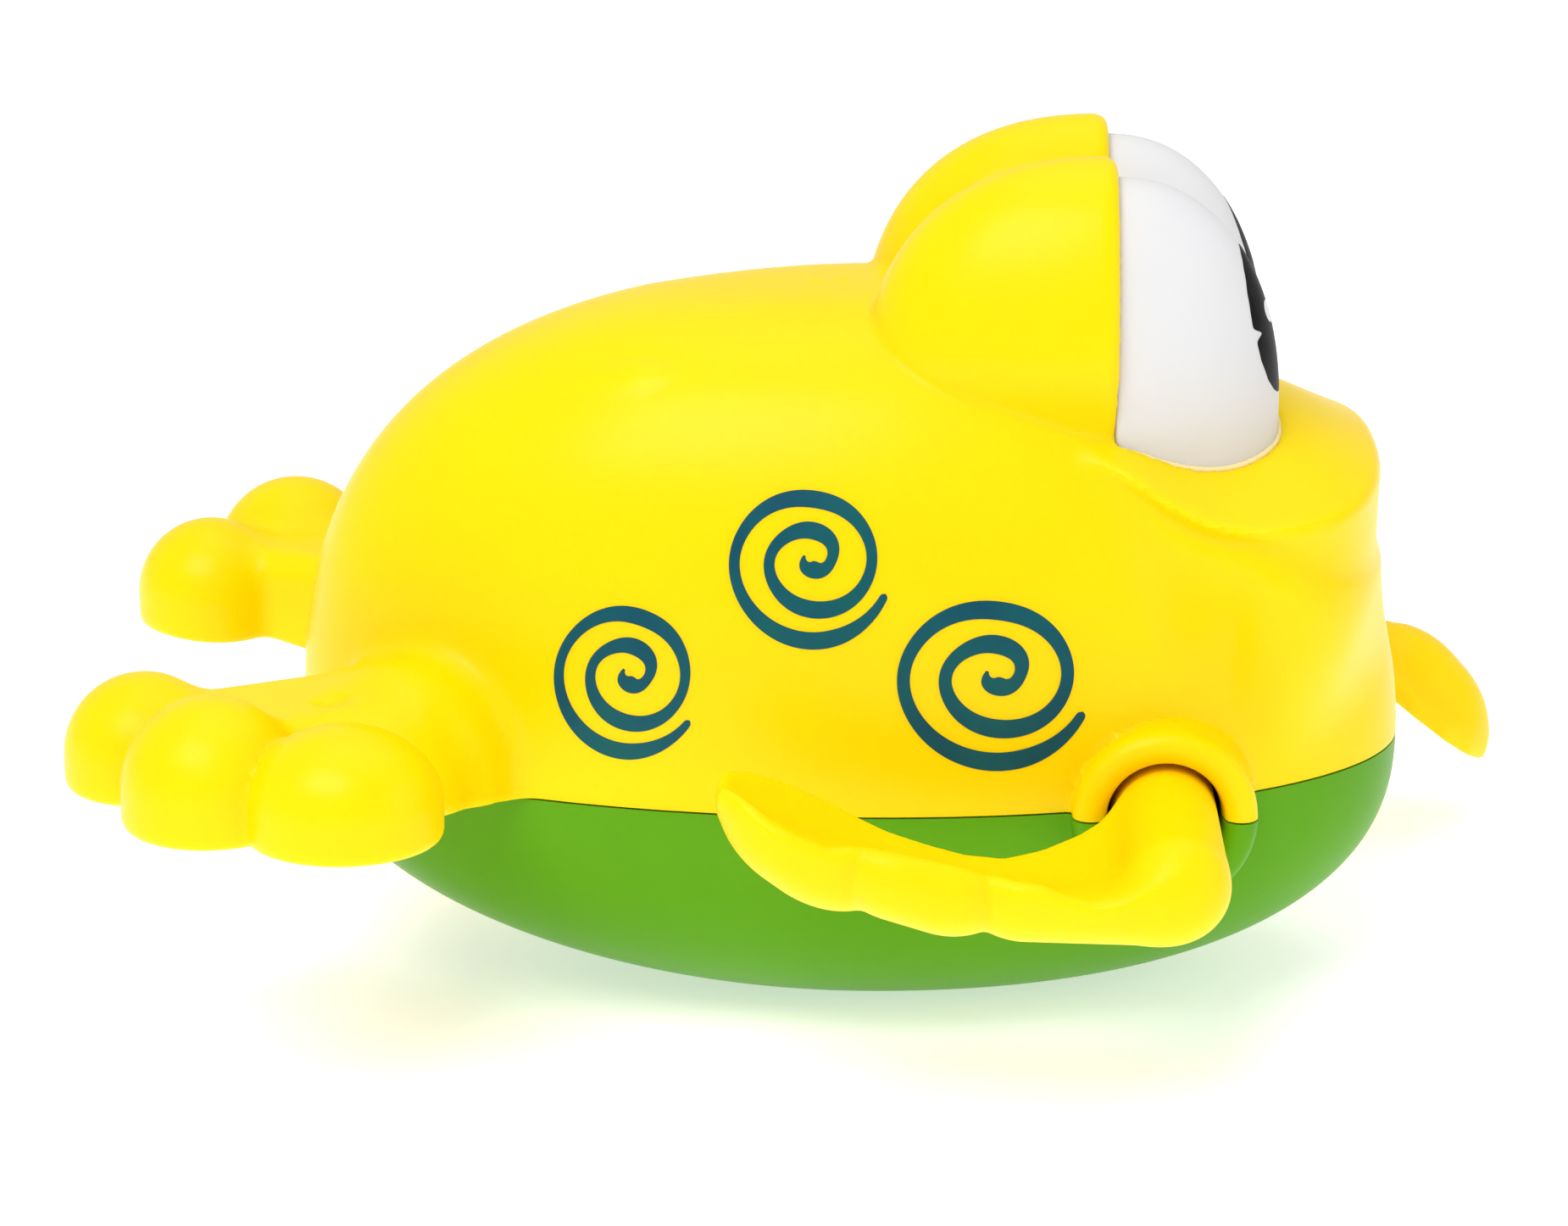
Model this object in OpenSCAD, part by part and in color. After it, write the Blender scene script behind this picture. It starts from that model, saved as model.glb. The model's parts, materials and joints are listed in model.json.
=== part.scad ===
// Wind-up paddling frog: moulded shells, clockwork gearbox and two paddle arms.
// Units are millimetres. +X is forward, +Y is the frog's left, +Z is up.
// The origin is the centre of the flat rest face under the belly.

/* [Hull and shell] */
// Height of the seam between hull and shell
seam_z = 22.5; // [22:0.25:23]
// Position of the widest section along X
body_x = -3.6; // [-4.2:0.2:-3]
// Distance from the widest section to the rump
rear_len = 51.4; // [50:0.2:52]
// Distance from the widest section to the nose
front_len = 47.6; // [47:0.2:48.2]
// Half width of the body at the seam
half_w = 25.4; // [25:0.2:26]
// Height of the back above the seam
back_h = 41.5; // [40.5:0.25:42.25]
// Depth of the full belly curve below the seam
belly_h = 23.5; // [23.4:0.1:24]
// Wall thickness of both mouldings
wall = 1.7; // [1.5:0.1:1.9]
// Height of the locating rim above the seam
rim_h = 2.4; // [1.6:0.2:3]

/* [Snout] */
// Widest point of the snout along X
snout_x = 27; // [26:0.5:28]
// Distance from there to the tip of the snout
snout_a = 15; // [14.5:0.25:15.5]
// Distance from there to the hidden rear of the snout
snout_r = 16; // [15:0.5:17]
// Half width of the snout outline
snout_b = 24; // [23:0.5:25]

/* [Eyes] */
// Plane where the eyelids end and the white eyes begin
eye_x = 17.4; // [17:0.2:18]
// Sideways offset of each eye dome
eye_y = 9; // [8.7:0.1:9.3]
// Height of the eye dome centres
eye_z = 55; // [54.5:0.25:55.5]
// Half height of the eyelid dome
lid_c = 22; // [21.5:0.25:22.5]
// Half width of the eyelid dome
lid_b = 11.4; // [11.2:0.1:11.7]
// Half length of the eyelid dome toward the back
lid_a = 22; // [21:0.5:23]
// Step from the eyelid down to the white
lid_step = 1.8; // [1.6:0.1:2]
// Half length of the white toward the front
white_a = 15.3; // [15:0.1:15.6]

/* [Arms] */
// Paddle axle position along X
axle_x = 21.7; // [21.4:0.1:22]
// Radius of the steel paddle axle
axle_r = 1.5; // [1.4:0.1:1.6]
// Radius of the round arm hub
hub_r = 4.5; // [4.3:0.1:4.6]
// Radius of the shoulder hole in the shells
shoulder_r = 4.95; // [4.9:0.05:5.1]
// Distance of the hub end from the middle of the body
hub_end_y = 41.5; // [40.5:0.25:42]
// Pitch of the right arm about the axle
right_pitch = 0.5; // [-30:0.5:30]
// Pitch of the left arm about the axle
left_pitch = 192.5; // [160:2.5:200]

/* [Gear train] */
// Tooth module of every gear
gear_m = 0.6; // [0.58:0.01:0.6]
// Teeth of the main gear on the winding arbor
main_z = 30; // [30:1:30]
// Teeth of both intermediate pinions
pinion_z = 10; // [10:1:10]
// Teeth of the first intermediate gear
idler_a_z = 24; // [24:1:24]
// Teeth of the second intermediate gear
idler_b_z = 20; // [20:1:20]
// Teeth of the paddle axle pinion
drive_z = 12; // [12:1:12]
// Play between mating tooth flanks
backlash = 0.14; // [0.1:0.02:0.2]

/* [Winding knob] */
// Radius of the knob
knob_r = 7.5; // [7:0.25:8]
// Gap between the knob and the flank boss
knob_gap = 0.5; // [0.4:0.1:0.6]
// Radius of the winding arbor
arbor_r = 2; // [1.8:0.1:2.1]

/* [Hidden] */
n = 48;
pressure = 25;
run = 0.05;
pin_r = 1;
eps = 0.02;
lid_w = 1.6;
white_b = lid_b - lid_step;
white_c = lid_c - lid_step;
toe_z = 25.1;
case_in = 9.6;
case_out = 11;
case_split = 2;
boss_y = 25.9;
knob_top = 30.7;
collar_y = 24.9;
collar_r = 8;

// Gear centres in the XZ plane
axle = [axle_x, seam_z];
d_drive = gear_m * (drive_z + idler_b_z) / 2;
d_mid = gear_m * (pinion_z + idler_a_z) / 2;
d_main = gear_m * (pinion_z + main_z) / 2;
ang_b = 165;
ang_a = 190;
ang_m = 160;
idler_b = axle + d_drive * [cos(ang_b), sin(ang_b)];
idler_a = idler_b + d_mid * [cos(ang_a), sin(ang_a)];
arbor = idler_a + d_main * [cos(ang_m), sin(ang_m)];

// Screw positions
front_post = [37, 0];
rear_post = [-40, 0];
post_r = 3;
screw_r = 1.2;
head_r = 2.5;
front_head_z = 13;
rear_head_z = 13;
rear_lug = [-24.2, 0];
front_lug = [31.8, 6];
lug_z = 19;
case_screws = [[-17.2, 36], [25.3, 16.6], [8, 35.2]];
case_floor = 13.6;
eye_tab = [6.5, 15.6, 46.5];

// ---------------------------------------------------------------- lofts

// Side faces between stacked rings of equal length
function side_faces(rings, k) = [
    for (i = [0:rings - 2]) for (j = [0:k - 1])
        let (a = i * k + j, b = i * k + (j + 1) % k)
        let (c = b + k, d = a + k)
        each [[a, d, c], [a, c, b]]
];

// Closed solid through stacked rings that run counter-clockwise seen from the end
module loft(rings) {
    k = len(rings[0]);
    m = len(rings);
    points = [for (r = rings) each r];
    first = [for (j = [0:k - 1]) j];
    last = [for (j = [k - 1:-1:0]) (m - 1) * k + j];
    polyhedron(points, concat([first], side_faces(m, k), [last]));
}

// Closed solid through stacked rings with a point at the last end
module loft_to_point(rings, tip) {
    k = len(rings[0]);
    m = len(rings);
    points = concat([for (r = rings) each r], [tip]);
    first = [for (j = [0:k - 1]) j];
    fan = [for (j = [0:k - 1]) [(m - 1) * k + j, m * k, (m - 1) * k + (j + 1) % k]];
    polyhedron(points, concat([first], side_faces(m, k), fan));
}

// Superellipse factor
function sup(s, p) = pow(max(0, 1 - pow(s, p)), 1 / p);

// Level outline of the body
function body_ring(rear, front, side, z) = [
    for (i = [0:n - 1])
        let (t = 360 * (i + 0.5) / n)
        [body_x + (cos(t) > 0 ? front : rear) * cos(t), side * sin(t), z]
];

// Slight fullness of the flanks above the seam
function flank(s) = 1 + 0.25 * s * pow(1 - s, 2);

// Rings of the back, shrunk by the inset
function back_rings(inset) = [
    for (f = [0, 8, 17, 26, 35, 44, 53, 62, 71, 79, 86])
        let (s = sin(f))
        body_ring((rear_len - inset) * sup(s, 2.6), (front_len - inset) * sup(s, 2.1),
                  (half_w - inset) * sup(s, 2.8) * flank(s), seam_z + (back_h - inset) * s)
];

// Rings of the belly from the rest face up to the seam
function belly_rings(inset, floor_z) =
    let (top = asin((seam_z - floor_z) / (belly_h - inset)))
    [for (i = [8:-1:0])
        let (s = sin(top * i / 8))
        body_ring((rear_len - inset) * sup(s, 2), (front_len - inset) * sup(s, 2.4),
                  (half_w - inset) * sup(s, 2.2), seam_z - (belly_h - inset) * s)];

// Back solid, with a straight skirt of the given depth below the seam
module back_solid(inset, skirt = 0) {
    base = back_rings(inset);
    low = [for (p = base[0]) [p[0], p[1], seam_z - skirt]];
    loft(skirt > 0 ? concat([low], base) : base);
}

// Belly solid, with a straight skirt of the given height above the seam
module belly_solid(inset, floor_z, skirt = 0) {
    base = belly_rings(inset, floor_z);
    high = [for (p = base[8]) [p[0], p[1], seam_z + skirt]];
    loft(skirt > 0 ? concat(base, [high]) : base);
}

// ---------------------------------------------------------------- snout

// Height of the lip above the plan position
function lip_z(x, y) = 47.6 + 2.1 * (1 - pow(y / 24, 2)) + 0.035 * pow(min(14, max(0, 30 - x)), 2);

// Outline of the snout at a fraction of its full size
function snout_ring(scale_f, inset, drop, level) = [
    for (i = [0:n - 1])
        let (t = 360 * (i + 0.5) / n)
        let (c = cos(t), s = sin(t))
        let (q = pow(pow(abs(c), 2.5) + pow(abs(s), 2.5), -0.4))
        let (x = snout_x + ((c > 0 ? snout_a : snout_r) - inset) * scale_f * q * c)
        let (y = (snout_b - inset) * scale_f * q * s)
        [x, y, level >= 0 ? level : lip_z(x, y) + 7 * (1 - scale_f) - drop]
];

// Snout with the lip overhanging a shallow mouth groove
module snout_solid(inset, top) {
    loft_to_point([
        snout_ring(0.7, inset, 0, 24),
        snout_ring(0.83, inset, 0, 31),
        snout_ring(0.92, inset, 0, 36),
        snout_ring(0.955, inset, 9.5, -1),
        snout_ring(0.93, inset, 5, -1),
        snout_ring(0.985, inset, 1.4 + top, -1),
        snout_ring(1, inset, 0.5 + top, -1),
        snout_ring(0.985, inset, top, -1),
        snout_ring(0.8, inset, top, -1),
        snout_ring(0.45, inset, top, -1)],
        [snout_x, 0, 57 - top]);
}

// ---------------------------------------------------------------- eyes

// Ring of a dome across X
function dome_ring(x, y, b, c, k) = [
    for (i = [0:k - 1])
        let (t = 360 * (i + 0.5) / k)
        [x, y + b * cos(t), eye_z + c * sin(t)]
];

// Rear half dome of an eyelid, open face at the eye plane plus a margin
module lid_dome(y, inset, margin = 0) {
    k = 32;
    body = [for (f = [84, 74, 62, 50, 37, 24, 12, 0])
        dome_ring(eye_x - (lid_a - inset) * sin(f), y, (lid_b - inset) * cos(f),
                  (lid_c - inset) * cos(f), k)];
    rim = dome_ring(eye_x + margin, y, lid_b - inset, lid_c - inset, k);
    loft(margin > 0 ? concat(body, [rim]) : body);
}

// Front half dome of a white eye, grown by the given amount, with a straight rear part
module white_dome(y, grow, rear) {
    k = 32;
    back = dome_ring(eye_x - rear, y, white_b + grow, white_c + grow, k);
    front = [for (f = [0, 12, 24, 36, 48, 60, 71, 80, 86])
        dome_ring(eye_x + (white_a + grow) * sin(f), y, (white_b + grow) * cos(f),
                  (white_c + grow) * cos(f), k)];
    loft(concat([back], front));
}

// ---------------------------------------------------------------- legs

// One rear leg and foot on the side s
module leg(s) {
    intersection() {
        union() {
            translate([-43, s * 18.5, 27.2]) sphere(r = 10.4, $fn = 64);
            translate([-53.5, s * 28.5, 27]) sphere(r = 8.2, $fn = 64);
        }
        translate([-80, -60, seam_z]) cube([60, 120, 40]);
    }
    intersection() {
        union() {
            translate([-67, s * 23.3, 28.6]) sphere(r = 6.3, $fn = 64);
            translate([-60, s * 33.6, 28.9]) sphere(r = 7.2, $fn = 64);
            translate([-47.6, s * 38, 28.8]) sphere(r = 7.9, $fn = 64);
            translate([-61, s * 25.5, 27]) sphere(r = 7, $fn = 64);
        }
        translate([-80, -60, toe_z]) cube([60, 120, 40]);
    }
}

// Hollow of one foot, open downward
module foot_hollow(s) {
    translate([-53.5, s * 28.5, 26.6]) sphere(r = 6.4, $fn = 64);
    translate([-66.6, s * 23.3, 27]) sphere(r = 4.6, $fn = 64);
    translate([-59.8, s * 33.4, 27.2]) sphere(r = 5.4, $fn = 64);
    translate([-48, s * 37.5, 27.2]) sphere(r = 5.9, $fn = 64);
    translate([-60.5, s * 26, 25.2]) sphere(r = 6.4, $fn = 64);
}

// ---------------------------------------------------------------- collars

// Shoulder collar on the side s
module collar(s) {
    translate([axle_x, s * 16, seam_z]) rotate([s * -90, 0, 0]) {
        cylinder(r = collar_r, h = collar_y - 16, $fn = 96);
        translate([0, 0, collar_y - 16])
            rotate_extrude($fn = 96) translate([6.475, 0]) circle(r = 1.52, $fn = 48);
    }
}

// Through hole of both shoulders
module shoulder_bore() {
    translate([axle_x, -40, seam_z]) rotate([-90, 0, 0])
        cylinder(r = shoulder_r, h = 80, $fn = 96);
}

// Winding boss on the left flank
module wind_boss() {
    translate([arbor[0], 20, arbor[1]]) rotate([-90, 0, 0])
        cylinder(r = 4.6, h = boss_y - 20, $fn = 64);
}

// Post with its top inside the shell wall
module post(p, s, z0, z1, r) {
    translate([p[0], s * p[1], z0]) cylinder(r = r, h = z1 - z0, $fn = 48);
}

// ---------------------------------------------------------------- shells

module upper_shell() {
    color([1, 0.86, 0.02])
    difference() {
        union() {
            difference() {
                union() {
                    back_solid(0);
                    snout_solid(0, 0);
                    lid_dome(eye_y, 0);
                    lid_dome(-eye_y, 0);
                    intersection() {
                        union() {
                            collar(1);
                            collar(-1);
                            wind_boss();
                        }
                        translate([-40, -40, seam_z]) cube([80, 80, 30]);
                    }
                    leg(1);
                    leg(-1);
                }
                back_solid(wall, 1);
                snout_solid(wall, wall);
                lid_dome(eye_y, lid_w, 0.5);
                lid_dome(-eye_y, lid_w, 0.5);
                white_dome(eye_y, 0.12, 5.4);
                white_dome(-eye_y, 0.12, 5.4);
                foot_hollow(1);
                foot_hollow(-1);
            }
            post(front_post, 1, seam_z, 50, post_r);
            post(rear_post, 1, seam_z, 54, post_r);
            for (s = [-1, 1]) post([eye_tab[0], eye_tab[1]], s, eye_tab[2] + 1.4, 58, 2.4);
        }
        shoulder_bore();
        translate([arbor[0], 15, arbor[1]]) rotate([-90, 0, 0])
            cylinder(r = arbor_r + 0.5, h = 20, $fn = 48);
        post(front_post, 1, seam_z - 1, 36, screw_r);
        post(rear_post, 1, seam_z - 1, 36, screw_r);
        for (s = [-1, 1]) post([eye_tab[0], eye_tab[1]], s, eye_tab[2], 54, 0.9);
    }
}

module lower_shell() {
    color([0.45, 0.75, 0.12])
    difference() {
        union() {
            difference() {
                union() {
                    belly_solid(0, 0);
                    intersection() {
                        union() {
                            collar(1);
                            collar(-1);
                        }
                        translate([0, -40, 10]) cube([40, 80, seam_z - 10]);
                    }
                }
                belly_solid(wall, wall, 1);
            }
            difference() {
                belly_solid(wall + 0.1, 17, rim_h);
                belly_solid(wall + 1.3, 15, rim_h + 1);
                post(front_post, 1, seam_z, seam_z + rim_h + 1, post_r + 0.3);
            }
            intersection() {
                union() {
                    post(front_post, 1, 1, seam_z, post_r + 0.7);
                    post(rear_post, 1, 1, seam_z, post_r + 0.7);
                    for (p = [rear_lug, front_lug]) post(p, 1, 1, lug_z, 3);
                }
                belly_solid(0.7, 0.7, 0.01);
            }
        }
        shoulder_bore();
        post(front_post, 1, -1, front_head_z, head_r + 0.2);
        post(front_post, 1, -1, seam_z + 1, screw_r + 0.15);
        post(rear_post, 1, -1, rear_head_z, head_r + 0.2);
        post(rear_post, 1, -1, seam_z + 1, screw_r + 0.15);
        for (p = [rear_lug, front_lug]) post(p, 1, 10, lug_z + 1, 0.9);
    }
}

module eye_insert() {
    color([0.95, 0.95, 0.93])
    difference() {
        union() {
            difference() {
                intersection() {
                    union() {
                        white_dome(eye_y, 0, 5);
                        white_dome(-eye_y, 0, 5);
                    }
                    translate([0, -30, 46]) cube([40, 60, 40]);
                }
                white_dome(eye_y, -1.4, 6);
                white_dome(-eye_y, -1.4, 6);
            }
            for (s = [-1, 1])
                translate([eye_tab[0], s * eye_tab[1] - 2.2, eye_tab[2]])
                    cube([7, 4.4, 1.2]);
            for (s = [-1, 1])
                translate([eye_tab[0], s * eye_tab[1], eye_tab[2]])
                    cylinder(r = 2.2, h = 1.2, $fn = 32);
        }
        for (s = [-1, 1])
            translate([eye_tab[0], s * eye_tab[1], eye_tab[2] - 1])
                cylinder(r = 1, h = 4, $fn = 32);
    }
}

// ---------------------------------------------------------------- screws

// Pan-head screw along +Z with its head below the origin
module screw(shank, length, head, head_h) {
    color([0.75, 0.76, 0.78])
    difference() {
        union() {
            cylinder(r = shank, h = length, $fn = 32);
            translate([0, 0, -head_h]) cylinder(r = head, h = head_h, $fn = 48);
        }
        translate([-head * 0.62, -0.3, -head_h - 1]) cube([head * 1.24, 0.6, 1.7]);
        translate([-0.3, -head * 0.62, -head_h - 1]) cube([0.6, head * 1.24, 1.7]);
    }
}

module belly_screw(p, z) {
    translate([p[0], p[1], z]) screw(screw_r, 35 - z, head_r, 1.7);
}

module belly_screw_front() { belly_screw(front_post, front_head_z); }
module belly_screw_rear() { belly_screw(rear_post, rear_head_z); }

module eye_screw(s) {
    translate([eye_tab[0], s * eye_tab[1], eye_tab[2]]) screw(0.9, 7, 1.8, 1.1);
}

module eye_screw_right() { eye_screw(-1); }
module eye_screw_left() { eye_screw(1); }

module mount_screw(p) {
    translate([p[0], p[1], lug_z + 1.6]) mirror([0, 0, 1]) screw(0.9, 8, 1.8, 1.1);
}

module mount_screw_front() { mount_screw(front_lug); }
module mount_screw_rear() { mount_screw(rear_lug); }

module case_screw(i) {
    translate([case_screws[i][0], -case_out, case_screws[i][1]])
        rotate([-90, 0, 0]) screw(0.8, 20, 1.6, 0.9);
}

module case_screw_rear() { case_screw(0); }
module case_screw_front() { case_screw(1); }
module case_screw_top() { case_screw(2); }

// ---------------------------------------------------------------- gearcase

// Side outline of the gearcase, shrunk by the inset
module case_outline(inset) {
    a = inset;
    polygon([[-18.6 + a * 0.4, case_floor + a], [26.4 - a * 0.4, case_floor + a],
             [28.4 - a, case_floor + 2.2 + a * 0.4],
             [28.4 - a, 29 - a * 0.4], [21 - a * 0.3, 33.6 - a], [11 - a * 0.2, 38.6 - a],
             [-18.6 + a * 0.4, 39.2 - a], [-20.8 + a, 37 - a * 0.4],
             [-20.8 + a, case_floor + 2.2 + a * 0.4]]);
}

// Prism of the case outline between two positions along Y
module case_prism(inset, y0, y1) {
    translate([0, y1, 0]) rotate([90, 0, 0]) linear_extrude(height = y1 - y0)
        case_outline(inset);
}

// Round rod along +Y
module rod(c, y0, y1, r, f = 48) {
    translate([c[0], y0, c[1]]) rotate([-90, 0, 0]) cylinder(r = r, h = y1 - y0, $fn = f);
}

module case_posts(y0, y1) {
    for (c = case_screws) rod(c, y0, y1, 1.9);
}

module gearcase_right() {
    color([0.2, 0.45, 0.75])
    difference() {
        union() {
            difference() {
                case_prism(0, -case_out, case_split);
                case_prism(1.4, -case_in, case_split + 1);
            }
            case_posts(-case_in - eps, case_split);
            translate([rear_lug[0] - 2.4, -4, lug_z]) cube([6.4, 6, 1.6]);
        }
        rod(axle, -12, -9, axle_r + run);
        rod(idler_a, -12, -9, pin_r);
        rod(idler_b, -12, -9, pin_r);
        rod(arbor, -12, -9, 1.5 + run);
        for (c = case_screws) rod(c, -12, case_split + 1, 0.8, 32);
        post(rear_lug, 1, lug_z - 1, lug_z + 3, 1.05);
    }
}

module gearcase_left() {
    color([0.16, 0.4, 0.7])
    difference() {
        union() {
            difference() {
                case_prism(0, case_split, case_out);
                case_prism(1.4, case_split - 1, case_in);
            }
            case_posts(case_split, case_in + eps);
            translate([-19.8, 3.4, 26.1]) cube([1.7, 4.4, 2.4]);
            translate([27.2, 3.2, lug_z]) cube([7, 5.6, 1.6]);
        }
        rod(axle, 9, 12, axle_r + run);
        rod(idler_a, 9, 12, pin_r);
        rod(idler_b, 9, 12, pin_r);
        rod(arbor, 9, 12, arbor_r + run);
        for (c = case_screws) rod(c, case_split - 1, 9.4, 0.8, 32);
        post(front_lug, 1, lug_z - 1, lug_z + 3, 1.05);
    }
}

// ---------------------------------------------------------------- gears

function inv_deg(a) = tan(a) * 180 / PI - a;

// Half angle of a tooth at radius r
function tooth_half(r, z) =
    let (p = gear_m * z / 2, b = p * cos(pressure))
    90 / z + inv_deg(pressure) - inv_deg(r > b ? acos(b / r) : 0)
        - backlash * 90 / (PI * p);

// Outline of a gear with z teeth, one tooth on +X before the turn by phase
module gear_outline(z, phase) {
    p = gear_m * z / 2;
    root = p - 1.2 * gear_m;
    tip = p + 0.88 * gear_m;
    base = max(root + 0.05, p * cos(pressure) + 0.01);
    radii = [root, base, base + (tip - base) * 0.35, base + (tip - base) * 0.7, tip];
    polygon([for (k = [0:z - 1]) let (c = phase + 360 * k / z)
        each concat(
            [for (r = radii) r * [cos(c - tooth_half(r, z)), sin(c - tooth_half(r, z))]],
            [for (i = [4:-1:0]) let (r = radii[i])
                r * [cos(c + tooth_half(r, z)), sin(c + tooth_half(r, z))]])]);
}

// Gear between two positions along Y
module gear(c, z, phase, y0, y1) {
    translate([c[0], y1, c[1]]) rotate([90, 0, 0]) linear_extrude(height = y1 - y0)
        gear_outline(z, phase);
}

// Phases that put the teeth in mesh: a tooth of one gear faces a gap of the next
phase_drive = ang_b + 180 / drive_z;
phase_b = ang_b + 180;
phase_b_pin = ang_a + 180 / pinion_z;
phase_a = ang_a + 180;
phase_a_pin = ang_m + 180 / pinion_z;
phase_main = ang_m + 180;

module drive_pinion() {
    color([0.93, 0.93, 0.9])
    difference() {
        union() {
            gear(axle, drive_z, phase_drive, -8.7, -5.8);
            rod(axle, -9.4, 9.4, 2.3);
        }
        rod(axle, -10, 10, axle_r);
    }
}

module idler_gear_b() {
    color([0.95, 0.95, 0.93])
    difference() {
        union() {
            gear(idler_b, idler_b_z, phase_b, -8.3, -6.2);
            gear(idler_b, pinion_z, phase_b_pin, -6.2, -2.6);
            rod(idler_b, -9.4, 9.4, 1.9);
        }
        rod(idler_b, -10, 10, pin_r + run);
    }
}

module idler_gear_a() {
    color([0.95, 0.95, 0.93])
    difference() {
        union() {
            gear(idler_a, idler_a_z, phase_a, -5.2, -3);
            gear(idler_a, pinion_z, phase_a_pin, -3, 1.4);
            rod(idler_a, -9.4, 9.4, 1.9);
        }
        rod(idler_a, -10, 10, pin_r + run);
    }
}

module main_gear() {
    color([0.93, 0.93, 0.9])
    difference() {
        union() {
            gear(arbor, main_z, phase_main, -1.6, 1);
            rod(arbor, -9.4, 1, 3);
        }
        rod(arbor, -10, 2, 1.5);
    }
}

module idler_pin_a() {
    color([0.72, 0.73, 0.75]) rod(idler_a, -case_out, case_out, pin_r);
}

module idler_pin_b() {
    color([0.72, 0.73, 0.75]) rod(idler_b, -case_out, case_out, pin_r);
}

module paddle_axle() {
    color([0.72, 0.73, 0.75]) rod(axle, -34, 34, axle_r);
}

module winding_arbor() {
    color([0.72, 0.73, 0.75]) {
        rod(arbor, -case_out, 1.01, 1.5);
        rod(arbor, 1, knob_top - 0.5, arbor_r);
    }
}

// Coiled strip from the arbor to the anchor rib of the left case
module mainspring() {
    turns = 6;
    step = 15;
    inner = 2.15;
    outer = 8.3;
    strip = 0.28;
    count = turns * 360 / step;
    function coil(i, r) = let (a = i * step + 174, q = inner + (outer - inner) * i / count + r)
        q * [cos(a), sin(a)];
    color([0.55, 0.57, 0.6])
    translate([arbor[0], 8.6, arbor[1]]) rotate([90, 0, 0]) linear_extrude(height = 7)
        polygon(concat([for (i = [0:count]) coil(i, 0)],
                       [for (i = [count:-1:0]) coil(i, strip)]));
}

module wind_knob() {
    y0 = boss_y + knob_gap;
    color([1, 0.86, 0.02])
    difference() {
        union() {
            translate([arbor[0], y0 + 2, arbor[1]]) rotate([90, 0, 0])
                linear_extrude(height = 2) difference() {
                    circle(r = knob_r, $fn = 96);
                    for (i = [0:11]) rotate(30 * i) translate([knob_r + 0.7, 0])
                        circle(r = 1.5, $fn = 32);
                }
            rod(arbor, y0 + 2 - eps, y0 + 2.8, 4.6);
            translate([arbor[0] - 6.4, y0 + 2 - eps, arbor[1] - 1.4])
                cube([12.8, knob_top - y0 - 2 + eps, 2.8]);
        }
        rod(arbor, 20, knob_top - 0.5, arbor_r);
    }
}

// ---------------------------------------------------------------- arms

// Cross section of the hand at distance u from the axle
function hand_ring(u, low, rim, inner, y0, y1) = [
    [-u, -y0, inner], [-u, -y0 - 1, inner + 0.2],
    [-u, -(y0 + y1) / 2, (inner + rim) / 2 - 1.4], [-u, -y1 + 2.4, rim - 0.7],
    [-u, -y1 + 1.2, rim], [-u, -y1 + 0.2, rim - 0.5], [-u, -y1, (low + rim) / 2],
    [-u, -y1 + 2, low + 0.3], [-u, -(y0 + y1) / 2, low], [-u, -y0 - 0.5, low + 1]
];

// Cupped hand that reaches back from the hub
module hand() {
    rings = [
        hand_ring(38.2, 5.8, 9.8, 8.6, 37.4, 42.6),
        hand_ring(36.6, 3.2, 8.5, 7.8, 35.2, 44.4),
        hand_ring(33, 0.2, 6.2, 5.8, 32.6, 45.4),
        hand_ring(28.6, -1.6, 4.4, 3.6, 31.6, 45.3),
        hand_ring(25.8, -3, 4.1, 2.2, 31.8, 45.8),
        hand_ring(20.4, -4, 3.1, 0.3, 32, 46.3),
        hand_ring(14.6, -4.6, 1.9, -0.8, 32, 45.8),
        hand_ring(8, -5.2, 0.8, -0.4, 31, 46),
        hand_ring(3, -5.2, 2.2, 1, 33, 45.4),
        hand_ring(-1, -4.2, 2.8, 1.4, 35.5, 44.4)
    ];
    loft(rings);
}

module arm_solid() {
    difference() {
        union() {
            translate([0, -hub_end_y, 0]) rotate([-90, 0, 0])
                cylinder(r = hub_r, h = hub_end_y - 20.5, $fn = 96);
            translate([0, -hub_end_y, 0]) sphere(r = hub_r, $fn = 64);
            hand();
        }
        translate([0, -34, 0]) rotate([-90, 0, 0]) cylinder(r = axle_r, h = 20, $fn = 48);
    }
}

module right_arm() {
    color([1, 0.86, 0.02])
    translate([axle_x, 0, seam_z]) rotate([0, right_pitch, 0]) arm_solid();
}

module left_arm() {
    color([1, 0.86, 0.02])
    translate([axle_x, 0, seam_z]) rotate([0, left_pitch, 0]) mirror([0, 1, 0]) arm_solid();
}

// ---------------------------------------------------------------- assembly

upper_shell();
lower_shell();
eye_insert();
eye_screw_right();
eye_screw_left();
belly_screw_front();
belly_screw_rear();
gearcase_right();
gearcase_left();
case_screw_rear();
case_screw_front();
case_screw_top();
mount_screw_front();
mount_screw_rear();
mainspring();
winding_arbor();
main_gear();
wind_knob();
idler_pin_a();
idler_gear_a();
idler_pin_b();
idler_gear_b();
paddle_axle();
drive_pinion();
right_arm();
left_arm();
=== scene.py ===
"""Wind-up paddling frog: smooth moulded shells, eyes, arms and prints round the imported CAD.

Shapes are worked out in millimetres as signed fields and turned into metres when the mesh is made.
"""
import json
import math

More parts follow.
